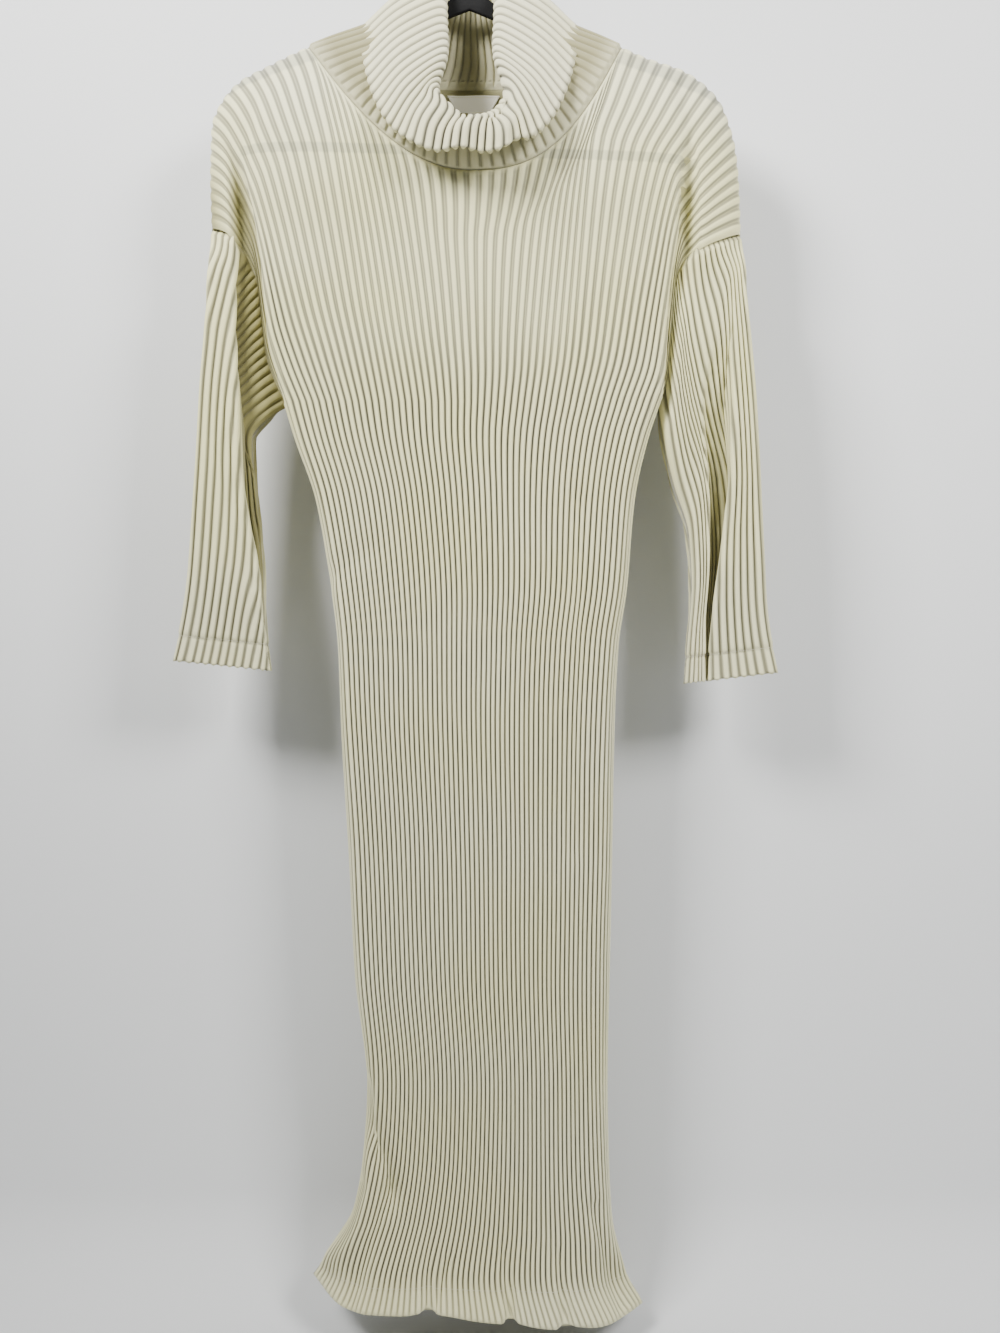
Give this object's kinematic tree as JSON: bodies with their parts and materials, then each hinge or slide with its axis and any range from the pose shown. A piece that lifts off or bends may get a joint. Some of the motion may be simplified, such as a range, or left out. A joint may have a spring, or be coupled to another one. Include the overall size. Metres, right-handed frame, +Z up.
{
  "type": "ribbed sweater dress on a clothes hanger",
  "caption": "Long ribbed-knit sweater dress with dropped three-quarter sleeves and a folded-over cowl collar, hanging flat on a slim hanger with a wire hook.",
  "frame": {"origin": "inside top of the hook, where a rail holds the hanger", "axes": "+Z up along the hanging dress, -Y towards the dress's front, +X to the right as the front is seen"},
  "size_m": [0.563, 0.1296, 1.3117],
  "materials": {
    "front": "ivory rib knit",
    "back": "ivory rib knit",
    "sleeve_left": "ivory rib knit",
    "sleeve_right": "ivory rib knit",
    "collar": "ivory rib knit",
    "label": "woven satin, bare",
    "size_tab": "woven satin, bare",
    "hanger": "black flock",
    "hook": "bright wire"
  },
  "bodies": {
    "root": {"front": "front", "back": "back", "sleeve_left": "sleeve_left", "sleeve_right": "sleeve_right", "collar": "collar", "label": "label", "size_tab": "size_tab", "hanger": "hanger", "hook": "hook"}
  },
  "joints": []
}
